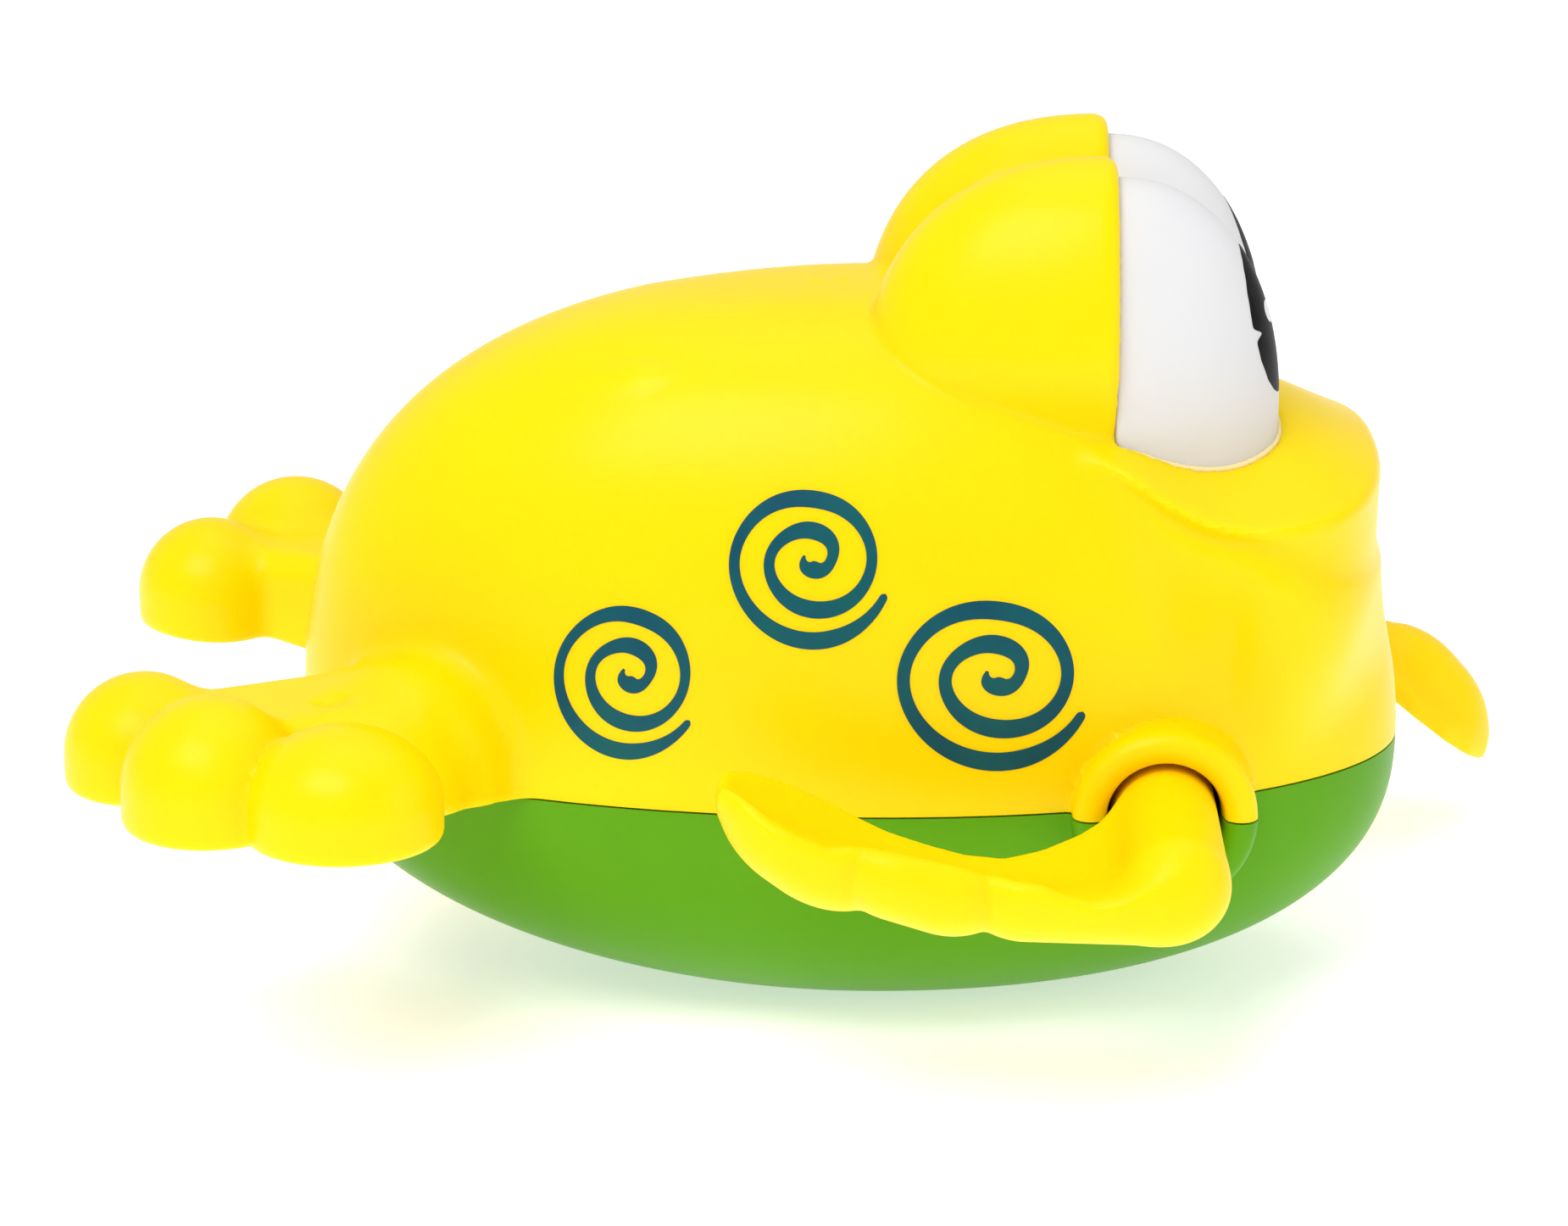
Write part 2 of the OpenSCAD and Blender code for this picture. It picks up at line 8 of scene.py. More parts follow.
import bmesh
import bpy
import numpy as np
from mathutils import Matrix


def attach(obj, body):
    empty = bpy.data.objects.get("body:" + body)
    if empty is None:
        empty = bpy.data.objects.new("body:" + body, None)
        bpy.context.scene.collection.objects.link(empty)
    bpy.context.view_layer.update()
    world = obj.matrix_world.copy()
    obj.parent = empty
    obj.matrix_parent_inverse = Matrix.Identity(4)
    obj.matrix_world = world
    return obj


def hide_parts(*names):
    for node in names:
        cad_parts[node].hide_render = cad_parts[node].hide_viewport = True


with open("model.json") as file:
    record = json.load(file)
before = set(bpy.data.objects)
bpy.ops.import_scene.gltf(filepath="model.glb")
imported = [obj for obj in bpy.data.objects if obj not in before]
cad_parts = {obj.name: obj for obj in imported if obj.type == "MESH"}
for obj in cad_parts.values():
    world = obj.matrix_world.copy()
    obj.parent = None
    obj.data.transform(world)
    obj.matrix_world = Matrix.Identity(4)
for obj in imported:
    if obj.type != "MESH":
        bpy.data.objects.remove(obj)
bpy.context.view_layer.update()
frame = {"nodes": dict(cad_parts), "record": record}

import openvdb as vdb
from mathutils import Vector

MM = 0.001
SCENE = bpy.context.scene

# ------------------------------------------------------------------ sizes, mm

# Body: level of the seam, widest place, lengths either side of it, half width and heights
SEAM_Z = 22.5
BODY_X = -3.6
REAR_LEN = 51.4
FRONT_LEN = 47.6
HALF_W = 25.4
BACK_H = 41.5
BELLY_H = 23.5
WALL = 1.7
SEAM_GAP = 0.09

# Snout: middle, half lengths and half width in plan, and how fast its lip rises to the rear
SNOUT_X = 27.0
SNOUT_FRONT = 14.4
SNOUT_REAR = 16.0
SNOUT_B = 24.0
LIP_RISE = 0.030

# Eyes: centre of each dome, half sizes of lid and white, fullness, and narrowing of the outer foot
EYE_X = 17.4
EYE_Y = 9.0
EYE_Z = 55.0
LID = (22.0, 11.3, 22.0)
WHITE = (14.35, 9.6, 20.2)
LID_FULL = 2.4
WHITE_FULL = 2.15
FOOT_IN = 0.27
WHITE_FOOT_IN = 0.12

# Cross shaft and winding arbor as (x, z), arm hub, shoulder hole and collar radii
AXLE = (21.7, 22.5)
ARBOR = (-8.894, 27.318)
HUB_R = 4.5
HOLE_R = 4.95
COLLAR_R = 8.0

# Level of the toes' undersides, screw posts and gearcase lugs as (x, y), turn of each arm
TOE_Z = 24.7
FRONT_POST = (37.0, 0.0)
REAR_POST = (-40.0, 0.0)
LUGS = ((-24.2, 0.0), (31.8, 6.0))
RIGHT_PITCH = math.radians(0.5)
LEFT_PITCH = math.radians(192.5)

# ------------------------------------------------------------------ field tools


def smin(a, b, k):
    """Union of two fields with a fillet of about k."""
    h = np.clip(0.5 + 0.5 * (b - a) / k, 0, 1)
    return b + (a - b) * h - k * h * (1 - h)


def smax(a, b, k):
    """Intersection of two fields with an edge rounded by about k."""
    return -smin(-a, -b, k)


def smooth(t):
    """Eases from 0 to 1 with level ends."""
    t = np.clip(t, 0, 1)
    return t * t * (3 - 2 * t)


def body_norm(x, y, z):
    """1 on the body's surface, with the terms that scale it to a distance."""
    dx, dz = x - BODY_X, z - SEAM_Z
    a = np.where(dx > 0, FRONT_LEN, REAR_LEN)
    c = np.where(dz > 0, BACK_H, BELLY_H)
    zn = np.abs(dz) / c
    s = np.minimum(zn, 1)
    full = 1 + np.where(dz > 0, 0.25 * s * (1 - s) ** 2, 0)
    xn, yn = np.abs(dx) / a, np.abs(y) / (HALF_W * full)
    h = np.sqrt(xn * xn + yn * yn)
    side = yn * yn / (h * h + 1e-6)
    rump = np.clip(-dx / 20, 0, 1)
    p = np.where(dz > 0, 2.05 + 0.9 * side + 0.55 * rump * (1 - side),
                 2.0 + 0.2 * side + np.where(dx > 0, 0.4 * (1 - side), 0))
    g = (h ** p + zn ** p) ** (1 / p)
    slope = np.sqrt((xn / a) ** 2 + (yn / HALF_W) ** 2 + (zn / c) ** 2)
    return g, slope


def body(x, y, z):
    """Signed distance, about, from the egg-shaped body."""
    g, slope = body_norm(x, y, z)
    return g * (g - 1) / (slope + 1e-4)


def plan_gap(x, y):
    """Distance in plan from the outline of the body at the seam."""
    dx = x - BODY_X
    h = np.sqrt((dx / np.where(dx > 0, FRONT_LEN, REAR_LEN)) ** 2 + (y / HALF_W) ** 2)
    return (h - 1) * 24


def dome(x, y, z, y0, size, ahead, full):
    """Half ellipsoid across X, its profile fuller than a circle, with a straight part on its open side."""
    a, b, c = size
    dx = (x - EYE_X) * ahead
    xn = np.maximum(dx, 0) / a
    yn, zn = (y - y0) / b, (z - EYE_Z) / c
    ring = yn ** 2 + zn ** 2
    k0 = (xn ** full + ring ** (full / 2)) ** (1 / full)
    k1 = np.sqrt((xn / a) ** 2 + (yn / b) ** 2 + (zn / c) ** 2)
    return k0 * (k0 - 1) / (k1 + 1e-4)


def drawn_in(y, z, share):
    """Sideways position stretched so that a dome narrows toward the foot of its outer side."""
    v = np.abs(y)
    foot = 1 - share * smooth((62 - z) / 10)
    return np.where(v > EYE_Y, EYE_Y + (v - EYE_Y) / foot, v)


def lids(x, y, z):
    """Both eyelid domes, behind the eye plane."""
    side = drawn_in(y, z, FOOT_IN)
    return smin(dome(x, side, z, EYE_Y, LID, -1, LID_FULL),
                dome(x, side, z, -EYE_Y, LID, -1, LID_FULL), 0.8)


def whites(x, y, z):
    """Both white domes, in front of the eye plane."""
    behind = np.clip((EYE_X - x) / 0.7, 0, 1)
    side = drawn_in(y, z, WHITE_FOOT_IN + (FOOT_IN - WHITE_FOOT_IN) * behind)
    return smin(dome(x, side, z, EYE_Y, WHITE, 1, WHITE_FULL),
                dome(x, side, z, -EYE_Y, WHITE, 1, WHITE_FULL), 0.8)


def snout_plan(x, y):
    """Distance from the snout's outline in plan, place round it (1 front, -1 rear), share of full size."""
    dx = x - SNOUT_X
    a = np.where(dx > 0, SNOUT_FRONT, SNOUT_REAR)
    u, v = np.abs(dx) / a, np.abs(y) / SNOUT_B
    rho = (u ** 2.5 + v ** 2.5) ** 0.4 + 1e-5
    slope = np.sqrt((u ** 1.5 / a) ** 2 + (v ** 1.5 / SNOUT_B) ** 2) * rho ** -1.5
    return (rho - 1) / np.maximum(slope, 0.03), np.sign(dx) * u / rho, rho


def lip_height(x, y):
    """Level of the edge round the top of the snout."""
    rise = smin(LIP_RISE * np.clip(30 - x, 0, 16) ** 2, 4.3, 1.5)
    return 47.6 + 2.1 * (1 - (y / 24) ** 2) + rise


def crown(y, rho):
    """Rise of the snout's top from the lip toward its middle."""
    return 7.6 * (1 - rho) * (1 - 0.3 * np.minimum(np.abs(y) / 18, 1) ** 2)


def snout_top(x, y):
    """Level of the top of the snout."""
    return lip_height(x, y) + crown(y, snout_plan(x, y)[2])


# Height of the crease under the lip, from the snout's rear (-1) to its front (1)
CREASE = np.polyfit([-1, -0.59, -0.2, 0.29, 0.625, 1], [55.5, 52.3, 47.7, 44.2, 41.8, 39.6], 3)


def snout(x, y, z):
    """Upper block of the snout, hollowed under its lip, and the cheek below the crease."""
    gap, front, rho = snout_plan(x, y)
    lip = lip_height(x, y)
    crease = np.minimum(np.polyval(CREASE, front), lip - 2.2)
    depth = np.clip((lip - z) / (lip - crease), 0, 1.4)
    below = crease - z
    hollow = 0.15 + 1.75 * (1 - np.clip(front, 0, 1) ** 2) * smooth((front + 1) / 0.8)
    wall_in = hollow * np.sin(depth * math.pi / 2) + 0.5 * np.maximum(below, 0)
    top = (z - lip - crown(y, rho)) * 0.9
    block = smax(gap + wall_in, top, 1.1)
    cheek_in = 0.95 + 0.024 * np.maximum(below, 0) ** 2 - 1.1 * np.clip(front, 0, 1)
    cheek = smax(gap + cheek_in, -below * 0.85, 2.2)
    return block, cheek


def ball(x, y, z, c, r, squash=(1, 1, 1)):
    """Dome with a straight skirt below its centre."""
    up = np.maximum(z - c[2], 0) / squash[2]
    return np.sqrt(((x - c[0]) / squash[0]) ** 2 + ((y - c[1]) / squash[1]) ** 2 + up ** 2) - r


def slab(x, y, z, c, half, turn, r):
    """Rounded box turned about Z."""
    ca, sa = math.cos(turn), math.sin(turn)
    px, py = (x - c[0]) * ca + (y - c[1]) * sa, -(x - c[0]) * sa + (y - c[1]) * ca
    qx, qy, qz = np.abs(px) - half[0] + r, np.abs(py) - half[1] + r, z - c[2] - half[2] + r
    out = np.sqrt(np.maximum(qx, 0) ** 2 + np.maximum(qy, 0) ** 2 + np.maximum(qz, 0) ** 2)
    return out + np.minimum(np.maximum(np.maximum(qx, qy), qz), 0) - r


# Toes of a foot from the inner one outward: centre, radius and stretch
TOES = (((-66.4, 23.5, 27.7), 6.9, (1, 1, 1)),
        ((-59.4, 33.6, 28.2), 7.6, (1, 1, 1)),
        ((-47.8, 37.4, 28.0), 7.5, (1.12, 1, 0.88)))


def legs(x, y, z):
    """Both rear legs and feet, with no bottom."""
    v = np.abs(y)
    thigh = ball(x, v, z, (-43.8, 19.5, 25.8), 8.8)
    web = slab(x, v, z, (-54.0, 24.0, 26.0), (11.5, 7.4, 6.6), math.radians(154), 2.6)
    shank = ball(x, v, z, (-46.0, 27.0, 24.6), 7.6)
    leg = smin(smin(thigh, web, 2.4), shank, 2.0)
    inner, middle, outer = (ball(x, v, z, *toe) for toe in TOES)
    toes = smin(smin(inner, middle, 0.6), outer, 0.6)
    return smin(leg, toes, 1.4)


def collars(x, y, z):
    """Rounded rings round the shoulder holes."""
    v = np.abs(y)
    r = np.hypot(x - AXLE[0], z - AXLE[1])
    ring = np.hypot(r - 6.475, v - 24.9) - 1.52
    tube = np.maximum(np.maximum(r - COLLAR_R, v - 24.9), 16 - v)
    return np.minimum(ring, tube)


def bore(x, y, z):
    """Shoulder holes, from inside the wall outward."""
    return np.maximum(np.hypot(x - AXLE[0], z - AXLE[1]) - HOLE_R, 12 - np.abs(y))


def segments(x, y, z, points):
    """Distance to a chain of points, and how far along it the nearest point is, from 0 to 1."""
    best = np.full(x.shape, 1e3, x.dtype)
    along = np.zeros(x.shape, x.dtype)
    n = len(points) - 1
    for i in range(n):
        p, q = np.array(points[i]), np.array(points[i + 1])
        d = q - p
        t = np.clip(((x - p[0]) * d[0] + (y - p[1]) * d[1] + (z - p[2]) * d[2]) / (d @ d), 0, 1)
        r = np.sqrt((x - p[0] - t * d[0]) ** 2 + (y - p[1] - t * d[1]) ** 2 + (z - p[2] - t * d[2]) ** 2)
        along = np.where(r < best, (i + t) / n, along)
        best = np.minimum(best, r)
    return best, along


# Middle lines of the ridges along the back, from the eyes to the rump
SIDE_WELT = [(-17.8, 14.4, 58.8), (-23.4, 13.0, 57.6), (-32.8, 9.8, 54.2), (-40.2, 6.4, 50.2),
             (-46.5, 3.4, 44.5), (-51.2, 2.0, 37.5)]
MID_WELT = [(-35.5, 0.0, 55.6), (-42.5, 0.0, 50.4), (-48.8, 0.0, 42.6), (-52.6, 0.0, 34.5)]


def welts(x, y, z):
    """Height of the raised ridges along the back."""
    d, t = segments(x, np.abs(y), z, SIDE_WELT)
    half = 0.5 + 2.6 * smooth(t / 0.25) * (1 - 0.55 * t)
    rise = 0.85 * np.clip(1 - (d / half) ** 2, 0, 1) ** 1.5
    d, t = segments(x, y, z, MID_WELT)
    half = 0.4 + 1.9 * smooth(t / 0.3) * (1 - 0.4 * t)
    return np.maximum(rise, 0.7 * np.clip(1 - (d / half) ** 2, 0, 1) ** 1.5)


def marks(x, y, z):
    """Gate mark on the back and sink dimples on the legs."""
    out = 0
    for gx in (-8.6, -6.4):
        out = out + 0.22 * np.exp(-((x - gx) ** 2 + y ** 2) / 0.5) * (z > 55)
    r = np.hypot((x + 49.8) / 1.4, np.abs(y) - 24.6)
    return out - 0.45 * np.clip(1 - (r / 1.3) ** 2, 0, 1) * (z > 28)


def skin(x, y, z):
    """Back and snout together, without eyelids, legs, collars or openings."""
    block, cheek = snout(x, y, z)
    return smin(smin(body(x, y, z), cheek, 3.2), block, 1.9)


def upper_outer(x, y, z):
    """Outside of the whole upper moulding."""
    main = smin(skin(x, y, z), smax(lids(x, y, z), x - EYE_X, 1.6), 0.45)
    sole = SEAM_Z + (TOE_Z - SEAM_Z) * smooth(plan_gap(x, y) / 13)
    leg = smax(legs(x, y, z), sole - z, 1.2)
    main = smin(main, leg, 3.0)
    near = np.abs(main) < 3
    if np.any(near):
        lift = np.zeros(main.shape, main.dtype)
        bx, by, bz = (np.broadcast_to(q, main.shape)[near] for q in (x, y, z))
        lift[near] = welts(bx, by, bz) + marks(bx, by, bz)
        main = main - lift
    main = smin(main, collars(x, y, z), 0.5)
    boss = np.maximum(np.hypot(x - ARBOR[0], z - ARBOR[1]) - 4.6, 20 - y)
    return smin(main, smax(boss, y - 25.9, 0.8), 0.5)


def post(x, y, z, px, py, r, low, high):
    """Upright cylinder, repeated on both sides."""
    return np.maximum(np.maximum(np.hypot(x - px, np.abs(y) - py) - r, low - z), z - high)


def upper_shell(x, y, z):
    """Yellow moulding with its hollow, screw posts and holes."""
    outer = upper_outer(x, y, z)
    main = skin(x, y, z)
    inner = np.minimum(main + WALL, np.maximum(lids(x, y, z) + 1.6, x - EYE_X - 1))
    inner = np.minimum(inner, np.maximum(whites(x, y, z) - 0.14, 12.0 - x))
    inner = np.minimum(inner, np.maximum(np.maximum(legs(x, y, z) + WALL, -body(x, y, z)), 12 - z))
    shell = smax(outer, -inner, 0.35)
    posts = np.minimum(post(x, y, z, *FRONT_POST, 3, 20, 50), post(x, y, z, *REAR_POST, 3, 20, 54))
    posts = np.minimum(posts, post(x, y, z, 6.5, 15.6, 2.4, 47.9, 57))
    shell = np.minimum(shell, posts)
    holes = np.minimum(post(x, y, z, *FRONT_POST, 1.2, 0, 36), post(x, y, z, *REAR_POST, 1.2, 0, 36))
    holes = np.minimum(holes, np.maximum(np.hypot(x - ARBOR[0], z - ARBOR[1]) - 2.5, 15 - y))
    return smax(shell, -np.minimum(bore(x, y, z), holes), 0.5)


def lower_shell(x, y, z):
    """Green hull with its hollow, bosses, motor posts and holes."""
    hull = smax(body(x, y, z), -z, 1.2)
    outer = smin(hull, np.maximum(collars(x, y, z), 10 - z), 0.5)
    shell = np.maximum(outer, -np.maximum(body(x, y, z) + WALL, WALL - z))
    posts = np.minimum(post(x, y, z, *FRONT_POST, 3.7, 1, SEAM_Z), post(x, y, z, *REAR_POST, 3.7, 1, SEAM_Z))
    for lug_x, lug_y in LUGS:
        posts = np.minimum(posts, np.maximum(np.hypot(x - lug_x, y - lug_y) - 3, z - 19))
    shell = np.minimum(shell, np.maximum(posts, hull + 0.7))
    holes = np.minimum(post(x, y, z, *FRONT_POST, 2.7, -3, 13), post(x, y, z, *REAR_POST, 2.7, -3, 13))
    holes = np.minimum(holes, np.minimum(post(x, y, z, *FRONT_POST, 1.35, 0, 40),
                                         post(x, y, z, *REAR_POST, 1.35, 0, 40)))
    return smax(shell, -np.minimum(bore(x, y, z), holes), 0.4)


def eye_insert(x, y, z):
    """White moulding with two bulges and two screw tabs."""
    outer = np.maximum(np.maximum(whites(x, y, z), 12.4 - x), 46 - z)
    shell = np.maximum(outer, -(whites(x, y, z) + 1.4))
    v = np.abs(y)
    tabs = np.maximum(np.abs(x - 9.4) - 4.1, np.abs(v - 15.6) - 2.2)
    tabs = np.maximum(tabs, np.abs(z - 47.1) - 0.6)
    return np.minimum(shell, np.maximum(tabs, 1 - np.hypot(x - 6.5, v - 15.6)))


def eye_bead(x, y, z):
    """Thin light line where the white eyes meet the snout."""
    tube = np.hypot(whites(x, y, z) - 0.12, (z - snout_top(x, y)) * 0.9 + 0.05) - 0.24
    return np.maximum(tube, EYE_X + 0.1 - x)


# ------------------------------------------------------------------ arm

# Against distance from the axle: height of the hand's inner edge, its place across, height of its rim
INNER_EDGE = ([-6, 0, 4.6, 7.6, 10.8, 14, 17.4, 20.7, 24, 26.2, 28.9, 32, 35.2, 38],
              [4.5, 3.6, 1.5, 0.3, -0.5, -1.0, -0.7, 0.2, 1.3, 2.3, 3.7, 5.3, 7.0, 8.4])
INNER_V = ([0, 4.4, 6, 7.6, 10.8, 14, 24, 29, 33, 36, 38.4],
           [26.9, 26.9, 28.3, 29.4, 31.1, 31.9, 31.9, 31.5, 32.2, 34.2, 38])
RIM_EDGE = ([-6, -0.5, 1.7, 4.8, 7, 9.3, 11.2, 13.8, 15, 18.3, 22.1, 25.6, 27.6, 28.8, 31.3, 33.9, 36, 38],
            [5.2, 3.6, 2.2, 0.5, -0.1, 0.3, 1.0, 1.3, 1.7, 2.5, 3.3, 4.0, 4.1, 4.0, 5.1, 6.4, 8.1, 10.6])
HUB_START, HUB_END = 20.5, 41.5
# Lobes of the hand from its tip inward: centre, half sizes, lean and straight part
LOBES = (((30.5, 39.6, 3.9), (7.8, 6.2, 5.5), math.radians(36), 0.8),
         ((21.3, 40.0, 0.6), (6.3, 6.5, 4.6), math.radians(17), 1.9),
         ((7.4, 40.0, -0.5), (6.0, 6.0, 4.8), math.radians(1), 5.0))


def eased(table):
    u = np.linspace(table[0][0], table[0][-1], 400)
    y = np.interp(u, *table)
    kernel = np.hanning(19)
    kernel /= kernel.sum()
    return u, np.convolve(np.pad(y, 9, mode="edge"), kernel, mode="valid")


INNER_EDGE, INNER_V, RIM_EDGE = eased(INNER_EDGE), eased(INNER_V), eased(RIM_EDGE)


def petal(u, v, w, c, half, tilt, straight=0.0):
    """Ellipsoid with its long axis tilted up along the hand and a straight part in its middle."""
    ca, sa = math.cos(tilt), math.sin(tilt)
    along = (u - c[0]) * ca + (w - c[2]) * sa
    p = np.maximum(np.abs(along) - straight, 0) / half[0]
    q = (v - c[1]) / half[1]
    r = (-(u - c[0]) * sa + (w - c[2]) * ca) / half[2]
    k0 = np.sqrt(p * p + q * q + r * r)
    k1 = np.sqrt((p / half[0]) ** 2 + (q / half[1]) ** 2 + (r / half[2]) ** 2)
    return k0 * (k0 - 1) / (k1 + 1e-4)


def arm(u, v, w):
    """Arm in its own frame: u back from the axle, v out from the middle of the body, w up."""
    hub = np.where(v < HUB_END, np.hypot(u, w), np.sqrt(u * u + w * w + (v - HUB_END) ** 2)) - HUB_R
    hub = np.maximum(hub, HUB_START - v)
    inner_v = np.interp(u, *INNER_V)
    share = np.clip((v - inner_v) / (44.0 - inner_v), 0, 1.15)
    inner = np.interp(u, *INNER_EDGE)
    rim = np.interp(u, *RIM_EDGE)
    top = inner + (rim - inner) * share ** 1.8 - 1.0 * np.sin(np.clip(share, 0, 1) * math.pi) ** 1.3
    a, b, c = (petal(u, v, w, *lobe) for lobe in LOBES)
    lobes = smin(smin(a, b, 0.5), c, 0.5)
    edge = np.maximum(np.maximum(inner_v - v, v - 42), u - 37.9)
    palm = smax(smax(top - 2.4 - w, edge, 1.6), -u + 1, 1.0)
    hand = smax(smin(lobes, palm, 1.2), w - top, 1.1)
    return smin(hub, hand, 1.8)


# ------------------------------------------------------------------ meshes


def settle(points, field, cell, rounds=3):
    """Moves points along the field's slope on to its zero surface."""
    p = points.copy()
    e = 0.04
    for _ in range(rounds):
        x, y, z = p.T
        f = field(x, y, z)
        g = np.stack([field(x + e, y, z) - field(x - e, y, z),
                      field(x, y + e, z) - field(x, y - e, z),
                      field(x, y, z + e) - field(x, y, z - e)], 1) / (2 * e)
        step = f[:, None] * g / np.maximum((g * g).sum(1), 0.2)[:, None]
        size = np.linalg.norm(step, axis=1, keepdims=True)
        p -= step * np.minimum(1, 0.6 * cell / np.maximum(size, 1e-6))
    drift = np.linalg.norm(p - points, axis=1, keepdims=True)
    return np.where(drift > 1.5 * cell, points, p)


def solid_mesh(field, low, high, cell):
    """Points and quads of the field's zero surface, worked out slab by slab."""
    low = np.array(low, float)
    count = np.ceil((np.array(high) - low) / cell).astype(int) + 1
    xs, ys, zs = (low[i] + cell * np.arange(count[i]) for i in range(3))
    values = np.empty(tuple(count), np.float32)
    for i in range(0, count[0], 24):
        part = field(xs[i:i + 24, None, None], ys[None, :, None], zs[None, None, :])
        values[i:i + 24] = np.clip(part, -3, 3)
    grid = vdb.FloatGrid(3.0)
    grid.copyFromArray(values)
    points, quads = grid.convertToQuads(0.0)
    points = points.astype(float) * cell + low
    return settle(points, field, cell), quads


def make_object(name, points, faces, scale=MM):
    """Mesh object from points in millimetres and faces of equal size."""
    mesh = bpy.data.meshes.new(name)
    mesh.vertices.add(len(points))
    mesh.vertices.foreach_set("co", (np.asarray(points, float) * scale).astype(np.float32).ravel())
    faces = np.asarray(faces)
    n, k = faces.shape
    mesh.loops.add(n * k)
    mesh.loops.foreach_set("vertex_index", faces.astype(np.int32).ravel())
    mesh.polygons.add(n)
    mesh.polygons.foreach_set("loop_start", np.arange(0, n * k, k, dtype=np.int32))
    mesh.update(calc_edges=True)
    mesh.validate()
    obj = bpy.data.objects.new(name, mesh)
    SCENE.collection.objects.link(obj)
    return obj


def finish_mesh(obj, angle=38):
    """Faces turned outward, smooth shading with sharp edges kept."""
    bm = bmesh.new()
    bm.from_mesh(obj.data)
    bmesh.ops.remove_doubles(bm, verts=bm.verts, dist=1e-6)
    bmesh.ops.dissolve_degenerate(bm, edges=bm.edges, dist=1e-7)
    bmesh.ops.recalc_face_normals(bm, faces=bm.faces)
    if bm.calc_volume(signed=True) < 0:
        bmesh.ops.reverse_faces(bm, faces=bm.faces)
    bm.to_mesh(obj.data)
    bm.free()
    obj.data.shade_smooth()
    obj.data.set_sharp_from_angle(angle=math.radians(angle))
    return obj


def cut_level(obj, z, keep_above):
    """Cuts the solid level at z and closes the cut."""
    bm = bmesh.new()
    bm.from_mesh(obj.data)
    geom = list(bm.verts) + list(bm.edges) + list(bm.faces)
    cut = bmesh.ops.bisect_plane(bm, geom=geom, dist=1e-8, plane_co=(0, 0, z * MM), plane_no=(0, 0, 1),
                                 clear_inner=keep_above, clear_outer=not keep_above)
    edges = [e for e in cut["geom_cut"] if isinstance(e, bmesh.types.BMEdge) and e.is_boundary]
    bmesh.ops.triangle_fill(bm, use_beauty=True, use_dissolve=False, edges=edges)
    bm.to_mesh(obj.data)
    bm.free()
    return obj


def drop_scraps(obj, share=0.01):
    """Removes loose islands much smaller than the whole."""
    bm = bmesh.new()
    bm.from_mesh(obj.data)
    bm.verts.ensure_lookup_table()
    seen, islands = set(), []
    for v in bm.verts:
        if v.index in seen:
            continue
        stack, island = [v], []
        seen.add(v.index)
        while stack:
            w = stack.pop()
            island.append(w)
            for e in w.link_edges:
                o = e.other_vert(w)
                if o.index not in seen:
                    seen.add(o.index)
                    stack.append(o)
        islands.append(island)
    limit = share * len(bm.verts)
    scraps = [v for island in islands if len(island) < limit for v in island]
    bmesh.ops.delete(bm, geom=scraps, context="VERTS")
    bm.to_mesh(obj.data)
    bm.free()
    return obj


FINE = 0.5

shell = make_object("shell_back", *solid_mesh(upper_shell, (-76, -48, SEAM_Z - 1.6), (46, 48, 79), FINE))
finish_mesh(cut_level(drop_scraps(shell), SEAM_Z + SEAM_GAP, True))
hull = make_object("hull_belly", *solid_mesh(lower_shell, (-57, -29, -1.2), (46, 29, SEAM_Z + 1.4), FINE))
finish_mesh(cut_level(drop_scraps(hull), SEAM_Z - SEAM_GAP, False))
eyes = make_object("eyes_white", *solid_mesh(eye_insert, (3, -21, 43), (35, 21, 77), FINE * 0.85))
finish_mesh(drop_scraps(eyes), 50)
bead = make_object("eye_rim_line", *solid_mesh(eye_bead, (16.5, -20.5, 47), (35, 20.5, 60), 0.16))
finish_mesh(drop_scraps(bead), 80)


def arm_points(points, side, pitch):
    """From the arm's frame to the row frame: side is -1 for the right arm and 1 for the left."""
    u, v, w = points.T
    x, z = -u, w
    ca, sa = math.cos(pitch), math.sin(pitch)
    return np.stack([AXLE[0] + x * ca + z * sa, side * v, AXLE[1] - x * sa + z * ca], 1)


arm_mesh, arm_quads = solid_mesh(arm, (-7, 19.5, -8), (41.5, 48, 13), FINE * 0.66)
arms = []
for side, name, pitch in ((-1, "arm_right", RIGHT_PITCH), (1, "arm_left", LEFT_PITCH)):
    piece = make_object(name, arm_points(arm_mesh, side, pitch), arm_quads)
    arms.append(finish_mesh(drop_scraps(piece), 50))

RIM_STEPS = 240


def rim_ring(inset, z):
    """One level ring of the hull's locating rim, inside the shell."""
    t = np.linspace(0, 2 * math.pi, RIM_STEPS, endpoint=False)
    a = np.where(np.cos(t) > 0, FRONT_LEN, REAR_LEN) - inset
    return np.stack([BODY_X + a * np.cos(t), (HALF_W - inset) * np.sin(t), np.full(RIM_STEPS, z)], 1)


rings = [rim_ring(WALL + 0.1, 20.6), rim_ring(WALL + 0.1, 24.6), rim_ring(WALL + 0.4, 24.9),
         rim_ring(WALL + 1.0, 24.9), rim_ring(WALL + 1.3, 24.6), rim_ring(WALL + 1.3, 20.6)]
run = []
for j in range(RIM_STEPS):
    if abs(rings[0][j, 0] - AXLE[0]) < HOLE_R + 1.5:
        continue
    for i in range(6):
        row, above, j2 = i * RIM_STEPS, (i + 1) % 6 * RIM_STEPS, (j + 1) % RIM_STEPS
        run.append((row + j, row + j2, above + j2, above + j))
rim = make_object("hull_rim", np.concatenate(rings), run)
bm = bmesh.new()
bm.from_mesh(rim.data)
bmesh.ops.delete(bm, geom=[v for v in bm.verts if not v.link_faces], context="VERTS")
bmesh.ops.holes_fill(bm, edges=[e for e in bm.edges if e.is_boundary], sides=8)
bm.to_mesh(rim.data)
bm.free()
finish_mesh(rim)

# ------------------------------------------------------------------ prints


